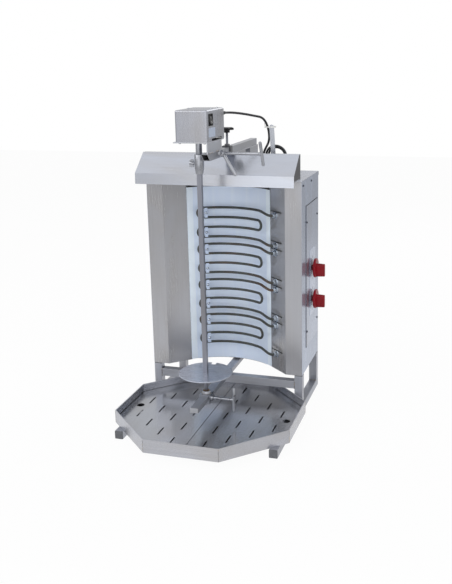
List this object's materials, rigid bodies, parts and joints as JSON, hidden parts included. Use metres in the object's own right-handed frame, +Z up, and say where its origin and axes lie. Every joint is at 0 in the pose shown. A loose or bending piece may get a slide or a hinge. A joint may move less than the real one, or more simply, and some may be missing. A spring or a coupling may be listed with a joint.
{
  "type": "electric doner kebab grill",
  "caption": "Stainless vertical grill with a concave heated reflector, a motor-driven spit on a sliding arm and an octagonal drip tray.",
  "frame": {"origin": "on the ground under the middle of the front legs, on the underside of the floor tie", "axes": "+X to the right seen from the front, +Y to the rear, +Z up"},
  "size_m": [0.564, 0.6655, 0.9654],
  "materials": {
    "black_plastic": "matte",
    "black_rubber": "satin",
    "bright_steel": "polished",
    "bronze": "satin",
    "crimson_plastic": "gloss",
    "film_blue": "satin",
    "heater_sheath": "satin",
    "mineral_wool": "matte",
    "motor_grey": "satin",
    "smoked_steel": "polished",
    "stainless": "brushed",
    "white_nylon": "satin"
  },
  "bodies": {
    "cabinet": {"left_side_frame": "stainless", "right_side_frame": "stainless", "cross_rails": "stainless", "floor_tie": "stainless", "plugs_and_pads": "black_plastic", "left_side_panel": "stainless", "right_side_panel": "stainless", "floor_panel": "stainless", "back_panel": "stainless", "roof_panel": "stainless", "reflector": "film_blue", "insulation_blanket": "mineral_wool", "wiring_shield": "stainless", "heating_element_1": "heater_sheath", "heating_element_2": "heater_sheath", "heating_element_3": "heater_sheath", "heating_element_4": "heater_sheath", "element_nuts": "bright_steel", "element_clips": "bright_steel", "hood": "stainless", "hood_end_plates": "smoked_steel", "service_door": "stainless", "control_plate": "film_blue", "panel_screws": "bright_steel", "heat_switches": "black_plastic", "terminal_block": "black_plastic", "mains_gland": "black_plastic", "lower_arm": "stainless", "arm_cradle": "stainless", "clamp_strap": "motor_grey", "roof_gland": "black_plastic", "lead_coil": "black_rubber", "motor_lead": "black_rubber", "lead_tail": "black_rubber", "cable_post": "stainless", "cable_tie": "white_nylon"},
    "head": {"upper_arm": "stainless", "motor_bracket": "stainless", "motor_cover": "stainless", "cover_screws": "bright_steel", "gear_motor": "motor_grey", "switch_housing": "black_plastic", "lead_gland": "black_plastic"},
    "spit": {"drive_shaft": "bright_steel", "chuck": "bright_steel", "skewer": "bright_steel", "meat_disc": "stainless"},
    "chuck_clamp": {"chuck_screw": "bright_steel"},
    "arm_clamp": {"clamp_screw": "black_plastic"},
    "upper_handle": {"upper_t_handle": "bright_steel"},
    "lever": {"lock_lever": "bright_steel"},
    "rocker": {"switch_rocker": "black_plastic"},
    "carriage": {"lower_carriage": "stainless", "pivot_bush": "bronze"},
    "lower_handle": {"lower_t_handle": "bright_steel"},
    "upper_heat_knob": {"upper_knob": "crimson_plastic"},
    "lower_heat_knob": {"lower_knob": "crimson_plastic"},
    "tray": {"drip_tray": "stainless"},
    "left_plate": {"drip_plate_left": "stainless"},
    "right_plate": {"drip_plate_right": "stainless"}
  },
  "joints": [
    {"name": "arm_slide", "type": "slide", "parent": "cabinet", "child": "head", "axis": [0, 1, 0], "range_m": [-0.06, 0.025], "deforming": ["motor_lead"]},
    {"name": "carriage_slide", "type": "slide", "parent": "cabinet", "child": "carriage", "axis": [0, 1, 0], "range_m": [-0.06, 0.025]},
    {"name": "spit_spin", "type": "hinge", "parent": "head", "child": "spit", "pos_m": [0, -0.2055, 0.858], "axis": [0, 0, 1], "continuous": true},
    {"name": "chuck_screw_turn", "type": "hinge", "parent": "spit", "child": "chuck_clamp", "pos_m": [-0.02, -0.2055, 0.813], "axis": [-1, 0, 0], "range_deg": [0, 360]},
    {"name": "clamp_screw_turn", "type": "hinge", "parent": "cabinet", "child": "arm_clamp", "pos_m": [0.037, -0.0645, 0.86], "axis": [0, 0, 1], "range_deg": [0, 360]},
    {"name": "upper_handle_turn", "type": "hinge", "parent": "head", "child": "upper_handle", "pos_m": [0.06, -0.1695, 0.838], "axis": [1, 0, 0], "range_deg": [0, 360]},
    {"name": "lock_lever_turn", "type": "hinge", "parent": "head", "child": "lever", "pos_m": [0.0583, -0.1695, 0.838], "axis": [1, 0, 0], "range_deg": [-60, 60]},
    {"name": "switch_rock", "type": "hinge", "parent": "head", "child": "rocker", "pos_m": [0.0435, -0.234, 0.936], "axis": [0, 1, 0], "range_deg": [0, 20]},
    {"name": "lower_handle_turn", "type": "hinge", "parent": "carriage", "child": "lower_handle", "pos_m": [0.03, -0.2055, 0.11], "axis": [1, 0, 0], "range_deg": [0, 360]},
    {"name": "upper_knob_turn", "type": "hinge", "parent": "cabinet", "child": "upper_heat_knob", "pos_m": [0.26, 0.1335, 0.44], "axis": [-1, 0, 0], "range_deg": [0, 270]},
    {"name": "lower_knob_turn", "type": "hinge", "parent": "cabinet", "child": "lower_heat_knob", "pos_m": [0.26, 0.1335, 0.337], "axis": [-1, 0, 0], "range_deg": [0, 270]},
    {"name": "tray_slide", "type": "slide", "parent": "cabinet", "child": "tray", "axis": [0, -1, 0], "range_m": [0, 0.25]},
    {"name": "left_plate_lift", "type": "slide", "parent": "tray", "child": "left_plate", "axis": [0, 0, 1], "range_m": [0, 0.02]},
    {"name": "right_plate_lift", "type": "slide", "parent": "tray", "child": "right_plate", "axis": [0, 0, 1], "range_m": [0, 0.02]}
  ],
  "couplings": [
    {"joint": "carriage_slide", "follows": "arm_slide", "ratio": 1}
  ]
}
